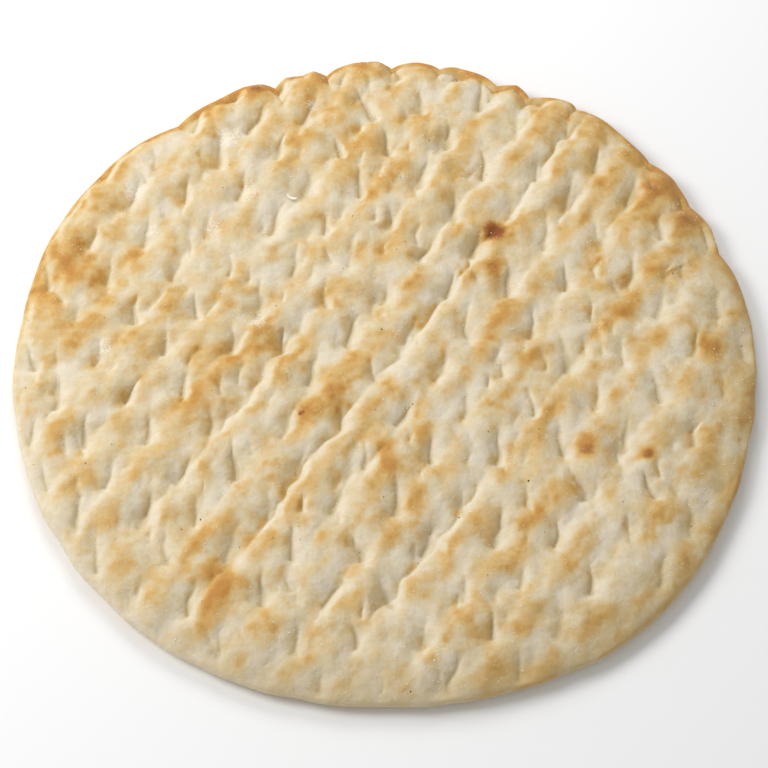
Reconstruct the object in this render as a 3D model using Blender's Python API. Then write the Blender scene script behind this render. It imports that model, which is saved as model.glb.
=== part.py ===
"""A ready-baked round pizza crust: one flat disc of dough with rows of docking dimples.

The dough was pricked by a roller of pins before baking. The pin marks stand on a slanted
lattice. Each row of marks is the floor of a valley, and the dough between two rows has
risen into a long ridge, gentle towards the front right and steep towards the back left.

Metres, +Z up. The origin is on the table under the middle of the crust. +X is to the
right and +Y to the back, and the rows of marks run from front left to back right.
"""

import math
import random

import bmesh
import bpy
import numpy as np
from mathutils import Vector, noise

MM = 0.001
NAME = "crust"
SEED = 7

# The disc
CRUST_RADIUS = 153.3 * MM  # a twelve inch crust
THICKNESS = 13.0 * MM  # from the table to the ridge tops, away from the edge
WAIST_HEIGHT = 5.2 * MM  # where the edge stands out furthest
SHOULDER = 12.0 * MM  # how far in from the edge the top takes to level out
FOOT_ROUNDING = 7.0 * MM  # how far in from the edge the underside meets the table
# Slow waves that make the outline less than a true circle: (waves a turn, height, degrees)
OUTLINE_WAVES = (
    (1, 0.83 * MM, -73),
    (2, 0.45 * MM, 162),
    (3, 0.68 * MM, 171),
    (4, 0.77 * MM, -177),
    (5, 0.67 * MM, -93),
    (6, 0.33 * MM, -67),
)
# Notches between the lobes of the back edge: (degrees round from +X, depth, width)
EDGE_NOTCHES = (
    (21, 3.2 * MM, 12 * MM),
    (31, 3.5 * MM, 12 * MM),
    (41.5, 3.4 * MM, 11 * MM),
    (57, 2.2 * MM, 3 * MM),
    (65, 7.0 * MM, 8 * MM),
    (71, 6.0 * MM, 10 * MM),
    (81, 3.6 * MM, 5 * MM),
    (89, 4.5 * MM, 5 * MM),
    (100, 5.6 * MM, 6 * MM),
    (104, 3.4 * MM, 12 * MM),
    (109, 6.2 * MM, 5 * MM),
    (127, 4.4 * MM, 15 * MM),
    (172, 1.5 * MM, 20 * MM),
)
EDGE_UNEVENNESS = 0.5 * MM  # how far the outline strays between them
EDGE_UNEVENNESS_SIZE = 13 * MM
NOTCH_REACH = 7.0 * MM  # how far a notch runs in over the top
NOTCH_SHARE = 0.5  # how deep it is there, as a share of its depth in the outline

# The lattice of pin marks
ROW_ANGLE = 55.6  # degrees round from +X
ROW_PITCH = 19.84 * MM  # from one row to the next
PIN_PITCH = 24.85 * MM  # from one pin to the next in its row
ROW_STAGGER = 8.64 * MM  # each row starts this much further along
FIRST_PIN = 12.6 * MM  # from the middle of the crust, along the middle row
FIRST_ROW = -3.2 * MM  # the middle row passes this far from the middle of the crust
ROWS_EACH_SIDE = 8
PINS_EACH_SIDE = 9
# The dough crept as it baked, and moved the lattice by this much at the edge of the crust
ROW_BOW = 1.7 * MM
ROW_FAN = -3.1 * MM
ROW_CROWDING = -3.0 * MM
PIN_FAN = -4.2 * MM

# A pin mark is a drop-shaped pit with a sharp floor. It is steep at its near end, and narrows
# and runs out at its far end
PIN_DEPTH = 2.9 * MM
PIN_WANDER = 1.2 * MM
MARK_ANGLE = 84  # degrees round from +X
MARK_ANGLE_SPREAD = 12
MARK_TAIL = 13.0 * MM
MARK_TOE = 3.0 * MM
MARK_STEEP_SIDE = 3.6 * MM
MARK_GENTLE_SIDE = 5.2 * MM
MARK_TAPER = 0.6  # how much narrower it gets towards the far end
FLOOR_ROUNDING = 0.2 * MM
# Each pin also has this many smaller grooves round it, where the dough wrinkled
WRINKLES = 2
WRINKLE_DEPTH = 1.2 * MM
WRINKLE_SIZE = 0.75  # as a share of a pin mark's size
WRINKLE_ANGLE_SPREAD = 20

# The valleys along the rows, and the ridges between them
VALLEY_DEPTH = 0.8 * MM
VALLEY_WANDER = 1.3 * MM
CREST_AT = 0.66  # share of the way from one valley to the next, towards the back left
# Stretches where a valley is a long crease: (row, start along the row, end, depth)
LONG_CREASES = (
    (0, -155 * MM, 155 * MM, 2.4 * MM),
    (2, -128 * MM, -5 * MM, 2.0 * MM),
    (-3, -105 * MM, -10 * MM, 1.3 * MM),
    (-3, 10 * MM, 45 * MM, 1.0 * MM),
    (4, 10 * MM, 60 * MM, 1.0 * MM),
    (1, 40 * MM, 100 * MM, 0.8 * MM),
)
CREASE_FADE = 16 * MM
CREASE_STEEP_SIDE = 2.6 * MM
CREASE_GENTLE_SIDE = 3.8 * MM
SMOOTH_ROWS = (0,)  # the ridges beyond these rows rose smooth, without wrinkles
# Every valley is creased here and there as well, less so in the back left part of the crust
ROW_CREASE = 0.6 * MM
ROW_CREASE_LENGTH = 26 * MM
ROW_CREASE_WANDER = 1.8 * MM
ROW_CREASE_STEEP_SIDE = 2.2 * MM
ROW_CREASE_GENTLE_SIDE = 4.2 * MM
SMOOTHER_BEYOND = 45 * MM  # from the middle of the crust, across the rows

PIT_UNEVENNESS = 1.0 * MM  # how far the walls of the pits and creases stray
PIT_UNEVENNESS_SIZE = 7.0 * MM

# How uneven the risen dough is: (size of the swellings, their height)
SWELLINGS = ((60 * MM, 0.5 * MM), (24 * MM, 0.8 * MM), (11 * MM, 0.4 * MM))
SWELLING_STRETCH = 1.35  # swellings are this much longer than wide, along the pin marks
# Small rounded lumps that meet in creases: (size, height)
PILLOWS = ((12 * MM, 0.9 * MM), (7 * MM, 0.25 * MM))
PILLOW_STRETCH = 1.3
PILLOW_CREASE = 0.10  # how sharp the creases are, as a share of the pattern's height
EDGE_FADE = 6.0 * MM  # the relief dies away over this much of the edge
SMOOTH_FRONT = 0.7  # the front edge has this share of the back edge's relief
# At the front right the dough sank over a wide band along the edge
DROOP = 2.6 * MM
DROOP_REACH = 36 * MM  # how far in from the edge
DROOP_TOWARDS = -45  # degrees round from +X
DROOP_SMOOTHING = 0.45  # the share of the relief that is lost there

# The mesh
RINGS = 84
TRIANGLES = 10400

COLOUR = (0.68, 0.48, 0.25, 1.0)
ROUGHNESS = 0.85


def soft_step(value):
    """0 below 0, 1 above 1, and smooth in between."""
    clipped = np.clip(value, 0, 1)
    return clipped * clipped * (3 - 2 * clipped)


def swelling(x, y, size, offset):
    """Smooth noise between about -1 and 1, in swellings of one size."""
    points = zip(x / size + offset, y / size - offset)
    return np.array([1.6 * noise.noise(Vector((px, py, offset))) for px, py in points])


def notch_depth(angle):
    """Depth of the edge's notches in each direction: sharp, with rounded lobes between them."""
    depth = np.zeros_like(angle)
    for degrees, deep, width in EDGE_NOTCHES:
        away = np.abs(np.mod(angle - math.radians(degrees) + math.pi, 2 * math.pi) - math.pi)
        depth = np.maximum(depth, deep * np.exp(-away * CRUST_RADIUS / width))
    return depth


def outline_radius(angle):
    """Distance from the middle to the edge of the crust in each direction."""
    radius = CRUST_RADIUS - notch_depth(angle)
    for waves, height, degrees in OUTLINE_WAVES:
        radius += height * np.cos(waves * angle + math.radians(degrees))
    x, y = CRUST_RADIUS * np.cos(angle), CRUST_RADIUS * np.sin(angle)
    return radius + EDGE_UNEVENNESS * swelling(x, y, EDGE_UNEVENNESS_SIZE, 81.3)


def turned(x, y, degrees):
    """The same places measured along a direction and square to it, to its left."""
    angle = math.radians(degrees)
    return x * math.cos(angle) + y * math.sin(angle), y * math.cos(angle) - x * math.sin(angle)


def row_coordinates(x, y):
    """Distance along the rows and across them, on the lattice as it was before the dough crept."""
    along, across = turned(x, y, ROW_ANGLE)
    s = along / CRUST_RADIUS
    t = across / CRUST_RADIUS
    across = across - ROW_BOW * s * s - ROW_FAN * s * t - ROW_CROWDING * t * t
    return along - PIN_FAN * s * t, across - FIRST_ROW


def sharp_valley(distance, right_side, left_side):
    """The section of a groove from 1 on its floor to 0 far away, with distance counted to the left."""
    away = np.hypot(distance, FLOOR_ROUNDING) - FLOOR_ROUNDING
    return np.exp(-away / np.where(distance > 0, left_side, right_side))


def ridge_relief(along, across):
    """Depth of the rows' valleys below the ridges, as negative heights."""
    share = np.mod(across / ROW_PITCH, 1)
    gentle = np.sin(math.pi / 2 * np.minimum(share / CREST_AT, 1))
    steep = np.sin(math.pi / 2 * np.minimum((1 - share) / (1 - CREST_AT), 1))
    return VALLEY_DEPTH * (np.minimum(gentle, steep) - 1)


def crease_relief(along, across):
    """Depth of the long creases and of the lighter ones that come and go, as negative heights."""
    across = across + ROW_CREASE_WANDER * swelling(along, across, 9 * MM, 14.4)
    coming_and_going = swelling(along, across, ROW_CREASE_LENGTH, 17.2)
    relief = np.zeros_like(along)
    for row, start, end, depth in LONG_CREASES:
        inside = soft_step((along - start) / CREASE_FADE) * soft_step((end - along) / CREASE_FADE)
        section = sharp_valley(across - row * ROW_PITCH, CREASE_STEEP_SIDE, CREASE_GENTLE_SIDE)
        relief -= depth * inside * section * np.clip(0.8 + 0.7 * coming_and_going, 0.2, 1.3)
    off_row = across - np.round(across / ROW_PITCH) * ROW_PITCH
    much = np.clip(0.35 + 1.2 * coming_and_going, 0, 1.6)
    much *= 1 - 0.6 * soft_step((across - SMOOTHER_BEYOND) / (30 * MM))
    return relief - ROW_CREASE * much * sharp_valley(off_row, ROW_CREASE_STEEP_SIDE, ROW_CREASE_GENTLE_SIDE)


def marks():
    """Every groove as (along, across, depth, size, angle): the pin marks and the wrinkles round them."""
    draw = random.Random(SEED)
    for row in range(-ROWS_EACH_SIDE, ROWS_EACH_SIDE + 1):
        for pin in range(-PINS_EACH_SIDE, PINS_EACH_SIDE + 1):
            along = FIRST_PIN + pin * PIN_PITCH + row * ROW_STAGGER
            across = row * ROW_PITCH
            yield (
                along + draw.gauss(0, PIN_WANDER),
                across + draw.gauss(0, PIN_WANDER),
                PIN_DEPTH * draw.uniform(0.6, 1.4),
                draw.uniform(0.75, 1.25),
                draw.gauss(MARK_ANGLE, MARK_ANGLE_SPREAD),
            )
            for _ in range(0 if row in SMOOTH_ROWS else WRINKLES):
                yield (
                    along + PIN_PITCH * draw.uniform(0, 1),
                    across + ROW_PITCH * draw.uniform(-0.2, 0.8),
                    WRINKLE_DEPTH * draw.uniform(0.3, 1.5),
                    WRINKLE_SIZE * draw.uniform(0.6, 1.3),
                    draw.gauss(MARK_ANGLE, WRINKLE_ANGLE_SPREAD),
                )


def mark_relief(along, across):
    """Depth of all the grooves together, as negative heights."""
    relief = np.zeros_like(along)
    for mark_along, mark_across, depth, size, angle in marks():
        da = along - mark_along
        dc = across - mark_across
        near = np.hypot(da, dc) < 2.6 * MARK_TAIL * size
        up, left = turned(da[near], dc[near], angle - ROW_ANGLE)
        tail = np.maximum(up, 0) / (MARK_TAIL * size)
        toe = np.maximum(-up, 0) / (MARK_TOE * size)
        width = size * np.where(left > 0, MARK_GENTLE_SIDE, MARK_STEEP_SIDE)
        width *= 1 - MARK_TAPER * (1 - np.exp(-tail))
        rounding = FLOOR_ROUNDING / width
        away = np.sqrt((left / width) ** 2 + toe**2 + rounding**2) - rounding
        relief[near] -= depth * np.exp(-away - tail**3)
    return relief


def pillow_relief(x, y):
    """Height of the small rounded lumps."""
    lengthwise, sideways = turned(x, y, MARK_ANGLE)
    relief = np.zeros_like(x)
    for number, (size, height) in enumerate(PILLOWS):
        pattern = swelling(lengthwise / PILLOW_STRETCH, sideways, size, 63.1 + 4.9 * number)
        relief += height * (np.hypot(pattern, PILLOW_CREASE) - 0.35)
    return relief


def top_relief(x, y):
    """Height of the top's grooves, valleys, lumps and swellings against the smooth disc."""
    along, across = row_coordinates(x, y)
    across = across + VALLEY_WANDER * swelling(x, y, 24 * MM, 2.7)
    along = along + VALLEY_WANDER * swelling(x, y, 24 * MM, 9.2)
    across = across + PIT_UNEVENNESS * swelling(x, y, PIT_UNEVENNESS_SIZE, 4.4)
    along = along + PIT_UNEVENNESS * swelling(x, y, PIT_UNEVENNESS_SIZE, 6.1)
    relief = ridge_relief(along, across) + crease_relief(along, across) + mark_relief(along, across)
    relief += pillow_relief(x, y)
    lengthwise, sideways = turned(x, y, MARK_ANGLE)
    for number, (size, height) in enumerate(SWELLINGS):
        relief += height * swelling(lengthwise / SWELLING_STRETCH, sideways, size, 11.1 * (number + 1))
    return relief


def droop_share(x, y, distance_in):
    """How much each point takes part in the sinking of the edge at the front right."""
    turn = np.cos(np.arctan2(y, x) - math.radians(DROOP_TOWARDS))
    return soft_step(0.45 + 0.8 * turn) * soft_step(1 - distance_in / DROOP_REACH)


def edge_relief(x, y, distance_in):
    """The top's relief as it dies away down the edge, and the notches that run in over it."""
    angle = np.arctan2(y, x)
    front = soft_step(0.5 - 0.9 * np.sin(angle))
    edge_share = 1 - (1 - SMOOTH_FRONT) * front
    fade = soft_step(distance_in / EDGE_FADE)
    share = (fade + (1 - fade) * edge_share) * soft_step(distance_in / (2.5 * MM))
    notches = NOTCH_SHARE * notch_depth(angle) * np.exp(-distance_in / NOTCH_REACH)
    share = share * (1 - DROOP_SMOOTHING * droop_share(x, y, distance_in))
    return top_relief(x, y) * share - notches * soft_step(distance_in / (2.5 * MM))


def hexagon_disc():
    """A hexagon of small equal triangles, and where each of its points goes on a disc.

    Returns the mesh, each point's share of the radius and each point's angle.
    """
    mesh = bmesh.new()
    bmesh.ops.create_circle(mesh, cap_ends=True, cap_tris=True, segments=6, radius=1)
    bmesh.ops.subdivide_edges(mesh, edges=mesh.edges[:], cuts=RINGS - 1, use_grid_fill=True)
    points = np.array([vert.co for vert in mesh.verts])
    angle = np.arctan2(points[:, 1], points[:, 0])
    sixth = math.pi / 3
    turn = np.mod(angle - math.pi / 2, sixth)
    share = np.hypot(points[:, 0], points[:, 1]) * np.cos(turn - sixth / 2) / math.cos(sixth / 2)
    side_share = np.sin(turn) / (np.sin(turn) + np.sin(sixth - turn))
    return mesh, np.clip(share, 0, 1), angle - turn + sixth * side_share


def edge_profile(side):
    """The section of the smooth disc: distance in from the edge, height, and length along it.

    Side is 1 for the top, from the waist up and in, and -1 for the underside.
    """
    near_edge = np.linspace(0, 1, 400) ** 2 * SHOULDER
    distance_in = np.concatenate([near_edge, np.linspace(SHOULDER, CRUST_RADIUS, 200)[1:]])
    if side > 0:
        rise = np.sqrt(1 - np.exp(-2 * distance_in / SHOULDER))
        height = WAIST_HEIGHT + (THICKNESS - WAIST_HEIGHT) * rise
    else:
        drop = np.clip(1 - distance_in / FOOT_ROUNDING, 0, 1)
        height = WAIST_HEIGHT * (1 - np.sqrt(1 - drop**2))
    length = np.concatenate([[0], np.cumsum(np.hypot(np.diff(distance_in), np.diff(height)))])
    return distance_in, height, length


def half_crust(side):
    """The top or the underside as an open mesh that ends at the waist."""
    mesh, share, angle = hexagon_disc()
    sample, height, length = edge_profile(side)
    place = (1 - share) * length[-1]
    distance_in = np.interp(place, length, sample)
    radius = outline_radius(angle) * (1 - distance_in / CRUST_RADIUS)
    z = np.interp(place, length, height)
    x, y = radius * np.cos(angle), radius * np.sin(angle)
    if side > 0:
        sunk = DROOP * droop_share(x, y, distance_in)
        z -= sunk * (z - WAIST_HEIGHT) / (THICKNESS - WAIST_HEIGHT)
        push = edge_relief(x, y, distance_in)
        outwards = np.interp(place, length, np.gradient(height, length))
        upwards = np.interp(place, length, np.gradient(sample, length))
        x += push * outwards * np.cos(angle)
        y += push * outwards * np.sin(angle)
        z += push * upwards
    for vert, where in zip(mesh.verts, zip(x, y, z)):
        vert.co = where
    if side < 0:
        bmesh.ops.reverse_faces(mesh, faces=mesh.faces[:])
    return mesh


def crust_mesh():
    """The whole crust as one closed mesh, with the middle of its box over the origin."""
    joined = bmesh.new()
    for side in (1, -1):
        half = half_crust(side)
        data = bpy.data.meshes.new(NAME)
        half.to_mesh(data)
        half.free()
        joined.from_mesh(data)
        bpy.data.meshes.remove(data)
    bmesh.ops.remove_doubles(joined, verts=joined.verts[:], dist=0.01 * MM)
    places = np.array([vert.co for vert in joined.verts])
    middle = (places.min(axis=0) + places.max(axis=0)) / 2
    bmesh.ops.translate(joined, verts=joined.verts[:], vec=(-middle[0], -middle[1], 0))
    data = bpy.data.meshes.new(NAME)
    joined.to_mesh(data)
    joined.free()
    data.shade_smooth()
    return data


def dough_material():
    """Plain baked dough."""
    material = bpy.data.materials.new("baked_dough")
    material.use_nodes = True
    shader = material.node_tree.nodes["Principled BSDF"]
    shader.inputs["Base Color"].default_value = COLOUR
    shader.inputs["Roughness"].default_value = ROUGHNESS
    shader.inputs["Metallic"].default_value = 0.0
    return material


def build_crust():
    """Makes the crust object in its own collection, thinned to the planned triangle count."""
    collection = bpy.data.collections.new("pizza_crust")
    bpy.context.scene.collection.children.link(collection)
    data = crust_mesh()
    data.materials.append(dough_material())
    crust = bpy.data.objects.new(NAME, data)
    collection.objects.link(crust)
    thin = crust.modifiers.new("Fewer triangles", "DECIMATE")
    thin.ratio = TRIANGLES / len(data.polygons)
    return crust


def main():
    for obj in list(bpy.data.objects):
        bpy.data.objects.remove(obj)
    build_crust()


if __name__ == "__main__":
    main()
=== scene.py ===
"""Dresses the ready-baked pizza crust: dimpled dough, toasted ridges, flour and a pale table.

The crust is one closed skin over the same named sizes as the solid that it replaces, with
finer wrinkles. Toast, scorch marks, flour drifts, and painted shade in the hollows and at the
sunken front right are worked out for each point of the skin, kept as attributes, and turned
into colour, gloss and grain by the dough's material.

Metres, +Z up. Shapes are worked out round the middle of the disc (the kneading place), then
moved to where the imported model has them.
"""

import math
import random

import bmesh
import bpy
import numpy as np
from bpy.props import FloatProperty, FloatVectorProperty, IntProperty, PointerProperty
from mathutils import Matrix, Vector, noise
from mathutils.bvhtree import BVHTree


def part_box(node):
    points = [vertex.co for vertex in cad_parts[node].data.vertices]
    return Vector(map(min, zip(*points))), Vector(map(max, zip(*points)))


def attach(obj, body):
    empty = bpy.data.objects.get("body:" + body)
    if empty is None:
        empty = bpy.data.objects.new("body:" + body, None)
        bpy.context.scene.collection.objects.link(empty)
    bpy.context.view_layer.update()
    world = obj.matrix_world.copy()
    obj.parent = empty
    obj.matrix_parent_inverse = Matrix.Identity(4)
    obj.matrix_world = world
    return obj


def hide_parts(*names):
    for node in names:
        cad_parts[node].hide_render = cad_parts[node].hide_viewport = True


bl_info = {
    "name": "Pizza crust looks",
    "version": (1, 0, 0),
    "blender": (4, 5, 0),
    "location": "3D View > Sidebar > Pizza crust",
    "description": "Skin, flour, specks and table for a ready-baked pizza crust",
    "category": "Add Mesh",
}

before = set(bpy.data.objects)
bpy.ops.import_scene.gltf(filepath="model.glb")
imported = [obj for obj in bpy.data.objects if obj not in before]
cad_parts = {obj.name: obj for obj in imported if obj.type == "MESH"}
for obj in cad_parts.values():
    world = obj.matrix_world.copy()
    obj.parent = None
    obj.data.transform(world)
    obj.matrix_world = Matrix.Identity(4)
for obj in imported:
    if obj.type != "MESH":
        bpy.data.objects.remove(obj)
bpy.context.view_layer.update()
NODE_LOW, NODE_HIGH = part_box("crust")

MM = 0.001
BODY = "root"

# The disc
CRUST_RADIUS = 153.3 * MM
THICKNESS = 13.0 * MM
WAIST_HEIGHT = 5.2 * MM
SHOULDER = 12.0 * MM
FOOT_ROUNDING = 7.0 * MM
WAIST_BAND = 0.5 * MM  # the two halves of the skin stop this far short of the waist
# (waves round the edge, height in millimetres, degrees)
OUTLINE_WAVES = (
    (1, 0.83, -73), (2, 0.45, 162), (3, 0.68, 171),
    (4, 0.77, -177), (5, 0.67, -93), (6, 0.33, -67),
)
# (degrees round from +X, depth, width in millimetres)
EDGE_NOTCHES = (
    (21, 3.2, 12), (31, 3.5, 12), (41.5, 3.4, 11), (57, 2.2, 3), (65, 7.0, 8),
    (71, 6.0, 10), (81, 3.6, 5), (89, 4.5, 5), (100, 5.6, 6), (104, 3.4, 12),
    (109, 6.2, 5), (127, 4.4, 15), (172, 1.5, 20),
)
EDGE_UNEVENNESS = 0.5 * MM
EDGE_UNEVENNESS_SIZE = 13 * MM
NOTCH_REACH = 7.0 * MM
NOTCH_SHARE = 0.5
RIM_BAND = 2.5 * MM  # the relief grows from nothing at the edge to all of it this far in
SHOULDER_SAMPLES = 400
FLAT_SAMPLES = 200

# The lattice of pin marks
SEED = 7
ROW_ANGLE = 55.6
ROW_PITCH = 19.84 * MM
PIN_PITCH = 24.85 * MM
ROW_STAGGER = 8.64 * MM
FIRST_PIN = 12.6 * MM
FIRST_ROW = -3.2 * MM
ROWS_EACH_SIDE = 8
PINS_EACH_SIDE = 9
ROW_BOW = 1.7 * MM
ROW_FAN = -3.1 * MM
ROW_CROWDING = -3.0 * MM
PIN_FAN = -4.2 * MM
PIN_DEPTH = 2.9 * MM
PIN_DEPTH_RANGE = (0.6, 1.4)
PIN_SIZE_RANGE = (0.75, 1.25)
PIN_WANDER = 1.2 * MM
MARK_ANGLE = 84
MARK_ANGLE_SPREAD = 12
MARK_TAIL = 13.0 * MM
MARK_TOE = 3.0 * MM
MARK_STEEP_SIDE = 3.6 * MM
MARK_GENTLE_SIDE = 5.2 * MM
MARK_TAPER = 0.6
MARK_REACH = 2.6  # in tails: beyond it a mark is too shallow to count
FLOOR_ROUNDING = 0.2 * MM
FLOOR_SHARPNESS = 3.0
WRINKLES = 2
WRINKLE_DEPTH = 1.2 * MM
WRINKLE_DEPTH_RANGE = (0.3, 1.5)
WRINKLE_SIZE = 0.75
WRINKLE_SIZE_RANGE = (0.6, 1.3)
WRINKLE_ACROSS_RANGE = (-0.2, 0.8)  # in rows
WRINKLE_ANGLE_SPREAD = 20
VALLEY_DEPTH = 0.8 * MM
VALLEY_WANDER = 1.3 * MM
VALLEY_WANDER_SIZE = 24 * MM
CREST_AT = 0.66
# (row, start, end, depth in millimetres)
LONG_CREASES = (
    (0, -155, 155, 2.4), (2, -128, -5, 2.0), (-3, -105, -10, 1.3),
    (-3, 10, 45, 1.0), (4, 10, 60, 1.0), (1, 40, 100, 0.8),
)
CREASE_FADE = 16 * MM
CREASE_STEEP_SIDE = 2.6 * MM
CREASE_GENTLE_SIDE = 3.8 * MM
SMOOTH_ROWS = (0,)
ROW_CREASE = 0.6 * MM
ROW_CREASE_LENGTH = 26 * MM
ROW_CREASE_WANDER = 1.8 * MM
ROW_CREASE_WANDER_SIZE = 9 * MM
ROW_CREASE_STEEP_SIDE = 2.2 * MM
ROW_CREASE_GENTLE_SIDE = 4.2 * MM
# How much of a crease shows as it comes and goes: (mean, swing, least, most)
LONG_CREASE_SHOWS = (0.8, 0.7, 0.2, 1.3)
ROW_CREASE_SHOWS = (0.35, 1.2, 0, 1.6)
SMOOTHER_BEYOND = 45 * MM
SMOOTHER_OVER = 30 * MM
SMOOTHER_SHARE = 0.6
PIT_UNEVENNESS = 1.0 * MM
PIT_UNEVENNESS_SIZE = 7.0 * MM
SWELLINGS = ((60 * MM, 0.5 * MM), (24 * MM, 0.8 * MM), (11 * MM, 0.4 * MM))
SWELLING_STRETCH = 1.35
PILLOWS = ((12 * MM, 0.9 * MM), (7 * MM, 0.25 * MM))  # rounded lumps with creases between them
PILLOW_STRETCH = 1.3
PILLOW_CREASE = 0.10
PILLOW_MEAN = 0.35
EDGE_FADE = 6.0 * MM
SMOOTH_FRONT = 0.7
# Where the smoother front begins, and how sharply
FRONT_MIDDLE = 0.5
FRONT_SHARPNESS = 0.9
# At the front right the dough sank over a wide band along the edge
DROOP = 2.6 * MM
DROOP_REACH = 36 * MM
DROOP_SIDE = (-45, 0.45, 0.8)  # what facing() takes: degrees, middle and sharpness
DROOP_SMOOTHING = 0.45

# What the skin adds to the solid
CRINKLES = ((5.0 * MM, 0.20 * MM), (3.0 * MM, 0.14 * MM))  # (width of the pattern, depth)
CRINKLE_STRETCH = 2.6
CRINKLE_SHARPNESS = 0.12
CRINKLE_PATCHES = 18 * MM
CRINKLED_SHARE = 0.55
CRINKLE_PATCH_CONTRAST = 0.9
# A thin lip where the dough folded over itself: its two ends, then how far it bows and stands
FOLD_START = (111.5 * MM, 36.8 * MM)
FOLD_END = (131.0 * MM, 49.8 * MM)
FOLD_BOW = 1.2 * MM
FOLD_HEIGHT = 0.40 * MM
FOLD_DEPTH = 0.45 * MM
FOLD_ENDS = 0.25  # share of the length over which each end fades
FOLD_LIP_WIDTH = 0.8 * MM
FOLD_BEFORE_LIP = 0.9 * MM
FOLD_FRONT_SIDE = 2.8 * MM
FOLD_LIP_SIDE = 0.5 * MM

# Toasting, from 0 for pale dough to 1 for deep brown
TOAST_MEAN = 0.335
TOAST_ON_ROWS = 0.14  # how much the ridges take
TOAST_PEAK = 0.8  # share of the way across a ridge where it is toasted most
TOAST_ON_HEIGHT = 0.075  # per millimetre of height
TOAST_BLOTCHES = ((45 * MM, 0.05), (16 * MM, 0.09), (8 * MM, 0.12), (4.5 * MM, 0.11))
BLOTCH_STRETCH = 1.5
BLOTCH_SPREAD = 0.45  # spread of the noise itself
# Painted light and shade on the slopes: those that rise to the right face the soft box and stay pale,
# and those that fall to the right face away and take more toast
PAINTED_LIGHT_ON_RISES = 0.9
PAINTED_LIGHT_FROM = 0.15
PAINTED_LIGHT_OVER = 0.6
PAINTED_SHADE_ON_FALLS = 0.26
PAINTED_SHADE_OVER = 0.7
# The edge stays pale at the front
FRONT_PALE = 0.6
FRONT_PALE_SIDE = (-112, -0.4, 1.3)  # what facing() takes
FRONT_PALE_REACH = 9 * MM
UNDERSIDE_TOAST = 0.34
UNDERSIDE_BLOTCHES = ((30 * MM, 0.16), (11 * MM, 0.14), (5 * MM, 0.10))
UNDERSIDE_EDGE = 10 * MM
# Patches that took more or less of the oven's heat: (x, y, radius in millimetres, how much)
TOASTED_PATCHES = (
    (-55, 2, 14, 0.26), (-23, -13, 11, 0.24), (-70, -102, 15, 0.30), (-16, -105, 11, 0.16),
    (39, -105, 12, 0.10), (12, 92, 16, 0.14), (-18, 92, 10, 0.12), (-128, 50, 16, 0.24),
    (112, 82, 14, 0.24), (63, 128, 13, 0.14), (90, 10, 13, 0.14), (60, -8, 13, 0.10),
    (84, -40, 12, 0.10), (-3, -55, 12, 0.10), (-88, 14, 10, 0.10), (-84, -28, 13, 0.08),
    (115, 42, 12, 0.12), (-71, -62, 17, -0.14), (-62, 112, 17, -0.14), (-92, 82, 14, -0.10),
    (62, 88, 13, -0.14), (96, -88, 14, -0.10), (90, -95, 40, -0.12), (-36, -50, 12, -0.08),
    (4, -130, 24, -0.08),
)
# Scorched spots: (x, y, radius in millimetres, how deep the colour goes)
SCORCHES = (
    (46, 62, 6.6, 1.1), (46, 62, 8.5, 0.50), (-34, -26, 1.8, 1.1), (45, 45, 4.4, 0.62),
    (-33, -24, 4.6, 0.62), (105, -45, 4.0, 0.85), (81, -43, 4.6, 0.80), (108, 79, 6.0, 0.50),
    (113, 84, 4.0, 0.75), (127, 69, 6.5, 0.80), (110, 41, 3.6, 0.35), (138, 36, 5.0, 0.25),
    (39, 118, 3.6, 0.35), (-12, -97, 4.4, 0.32), (-56, 137, 5.0, 0.85), (-1, -44, 4.3, 0.34),
    (88, 13, 4.3, 0.36), (30, 95, 4.4, 0.32), (8, -68, 3.4, 0.30), (-60, -103, 7.0, 0.34),
    (40, 118, 4.4, 0.30), (-50, 2, 7.0, 0.30), (-8, 82, 4.0, 0.26), (-23, -11, 7.0, 0.26),
    (-133, 42, 5.6, 0.26), (-76, 126, 3.8, 0.30), (68, 123, 6.5, 0.22),
)
# Where flour lies thickest: (x, y, radius in millimetres, how much)
FLOUR_DRIFTS = (
    (-67, 111, 6, 1.0), (-57, 82, 5, 0.9), (-72, 64, 5, 0.8), (-107, 82, 5, 0.9),
    (-115, 4, 4, 0.8), (-98, 62, 4, 0.8), (-53, 18, 5, 0.8), (-32, 128, 3, 0.8),
    (-13, 23, 5, 0.5), (54, 35, 4, 0.5), (121, 75, 4, 0.5), (-39, -8, 3, 0.6),
)
# How brown the rim is: (degrees round from +X, spread in degrees, how much)
RIM_TOAST = (
    (18, 7, 0.38), (33, 9, 0.30), (52, 12, 0.22), (80, 12, 0.34), (97, 9, 0.32),
    (116, 8, 0.46), (146, 12, 0.30), (164, 11, 0.48), (182, 9, 0.12), (208, 7, 0.16),
    (328, 4, 0.36), (292, 7, 0.08), (314, 22, 0.10),
)
RIM_TOAST_REACH = 11 * MM
RIM_RAGGEDNESS = 0.5
RIM_RAGGED_SIZE = 7 * MM
# A thin brown line along the edge at the back
BACK_LINE = 0.70
BACK_LINE_WIDTH = 2.2 * MM
BACK_LINE_MIDDLE = 0.4
# The outline of a spot: how ragged, how finely, and how flat its middle
SCORCH_RAGGEDNESS = 0.15
DRIFT_RAGGEDNESS = 0.3
SPOT_RAGGED_SIZE = 3.5 * MM
SPOT_FLATNESS = 2.4

# What the patterns of the dough's material add to the toasting
SCORCH_TOAST = 1.1
LUMP_TOAST = 0.55
DAPPLE_TOAST = 0.25
BLISTER_TOAST = 0.16
GRAIN_TOAST = 0.05
FRECKLE_TOAST = 0.17
FULL_TOAST = 1.33  # where the last of the baked colours is reached
# What they add to the height, in millimetres
LUMP_HEIGHT = 0.45
DAPPLE_HEIGHT = 0.14
GRAIN_HEIGHT = 0.04
BLISTER_HEIGHT = 0.14
POWDER_HEIGHT = 0.05
DRIFT_HEIGHT = 0.10
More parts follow.
